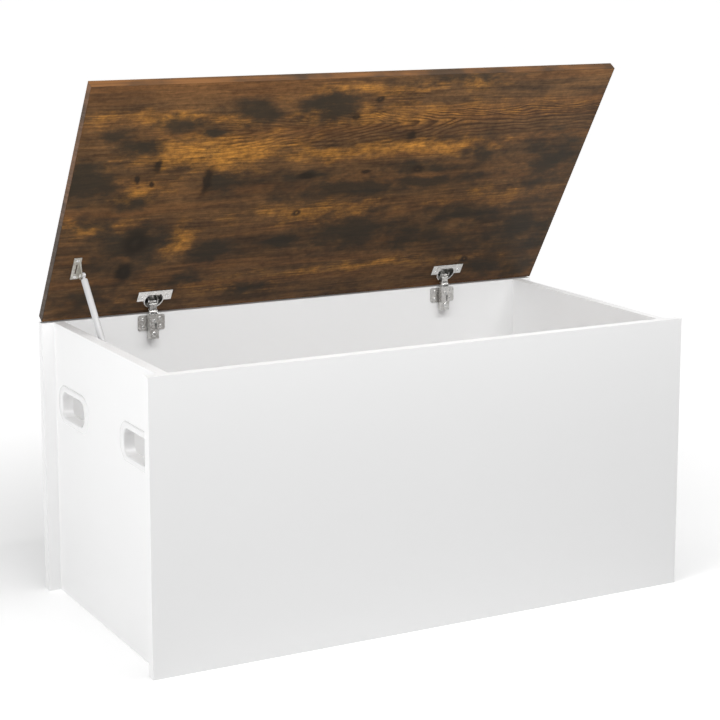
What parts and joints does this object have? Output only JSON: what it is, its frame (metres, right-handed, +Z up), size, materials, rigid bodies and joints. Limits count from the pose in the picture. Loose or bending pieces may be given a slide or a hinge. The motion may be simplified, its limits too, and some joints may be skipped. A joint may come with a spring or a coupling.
{
  "type": "toy box",
  "caption": "Rectangular laminated board toy box with a gas-strut lid on concealed cup hinges and lined hand holes in both sides.",
  "frame": {"origin": "centre of the footprint, on the floor", "axes": "+X along the front towards the right end, +Y from the front to the back, +Z up"},
  "size_m": [1, 0.5, 0.9122],
  "materials": {
    "white_laminate": "white melamine laminate on chipboard, fine satin",
    "wood_print": "dark rustic wood print laminate, satin",
    "edge_band": "brown edge band, satin",
    "white_liner": "glossy white moulded plastic",
    "plated_steel": "nickel-plated pressed steel",
    "zinc_steel": "zinc-plated sheet steel",
    "bright_steel": "bright nickel plate",
    "cam_metal": "zinc die-cast",
    "dowel_wood": "bare beech",
    "white_tube": "light silver-grey paint, gloss",
    "seal_rubber": "black rubber",
    "dark_plastic": "dark moulded plastic"
  },
  "bodies": {
    "box": {"front_panel": "white_laminate", "back_panel": "white_laminate", "left_side_panel": "white_laminate", "right_side_panel": "white_laminate", "bottom_panel": "white_laminate", "cam_locks": "cam_metal", "cam_bolts": "bright_steel", "wooden_dowels": "dowel_wood", "handle_left_front": "white_liner", "handle_left_rear": "white_liner", "handle_right_front": "white_liner", "handle_right_rear": "white_liner", "hinge_arm_left": "plated_steel", "hinge_arm_right": "plated_steel", "mounting_plate_left": "plated_steel", "mounting_plate_right": "plated_steel", "mounting_plate_screws": "bright_steel", "hinge_adjusting_screws": "bright_steel", "hinge_clamp_screws": "bright_steel", "hinge_arm_pins": "bright_steel", "strut_side_bracket": "zinc_steel", "strut_ball_stud": "bright_steel", "strut_side_screws": "bright_steel"},
    "lid": {"lid_panel": "wood_print", "lid_edge_band": "edge_band", "hinge_cup_left": "plated_steel", "hinge_cup_right": "plated_steel", "hinge_cup_screws": "bright_steel", "strut_lid_bracket": "zinc_steel", "strut_lid_screws": "bright_steel", "strut_lid_pin": "bright_steel", "strut_pin_clip": "zinc_steel"},
    "hinge_outer_link_left": {"outer_link_left": "plated_steel", "outer_pin_left": "bright_steel"},
    "hinge_outer_link_right": {"outer_link_right": "plated_steel", "outer_pin_right": "bright_steel"},
    "hinge_inner_link_left": {"inner_link_left": "plated_steel", "inner_pin_left": "bright_steel"},
    "hinge_inner_link_right": {"inner_link_right": "plated_steel", "inner_pin_right": "bright_steel"},
    "strut_cylinder": {"strut_tube": "white_tube", "strut_top_eye": "white_tube", "strut_rod_guide": "dark_plastic", "strut_seal": "seal_rubber"},
    "strut_rod_end": {"strut_rod": "bright_steel", "strut_piston": "dark_plastic", "strut_socket": "dark_plastic"}
  },
  "joints": [
    {"name": "lid_hinge", "type": "hinge", "parent": "box", "child": "lid", "pos_m": [0, 0.242, 0.4969], "axis": [1, 0, 0], "range_deg": [0, 57.4]},
    {"name": "strut_swing", "type": "hinge", "parent": "lid", "child": "strut_cylinder", "pos_m": [-0.4485, 0.16339, 0.57008], "axis": [1, 0, 0], "range_deg": [-74.6, 0]},
    {"name": "strut_stroke", "type": "slide", "parent": "strut_cylinder", "child": "strut_rod_end", "axis": [0, -0.6587, -0.7524], "range_m": [-0.0852, 0]},
    {"name": "outer_link_left_turn", "type": "hinge", "parent": "box", "child": "hinge_outer_link_left", "pos_m": [-0.2985, 0.2215, 0.4845], "axis": [1, 0, 0], "range_deg": [0, 79.2]},
    {"name": "outer_link_right_turn", "type": "hinge", "parent": "box", "child": "hinge_outer_link_right", "pos_m": [0.2985, 0.2215, 0.4845], "axis": [1, 0, 0], "range_deg": [0, 79.2]},
    {"name": "inner_link_left_turn", "type": "hinge", "parent": "box", "child": "hinge_inner_link_left", "pos_m": [-0.2985, 0.225, 0.4879], "axis": [1, 0, 0], "range_deg": [0, 78.2]},
    {"name": "inner_link_right_turn", "type": "hinge", "parent": "box", "child": "hinge_inner_link_right", "pos_m": [0.2985, 0.225, 0.4879], "axis": [1, 0, 0], "range_deg": [0, 78.2]}
  ],
  "couplings": [
    {"joint": "strut_swing", "follows": "lid_hinge", "ratio": -1.2977},
    {"joint": "strut_stroke", "follows": "lid_hinge", "m_per_rad": -0.084769},
    {"joint": "outer_link_left_turn", "follows": "lid_hinge", "ratio": 1.3763},
    {"joint": "outer_link_right_turn", "follows": "lid_hinge", "ratio": 1.3763},
    {"joint": "inner_link_left_turn", "follows": "lid_hinge", "ratio": 1.3589},
    {"joint": "inner_link_right_turn", "follows": "lid_hinge", "ratio": 1.3589}
  ]
}
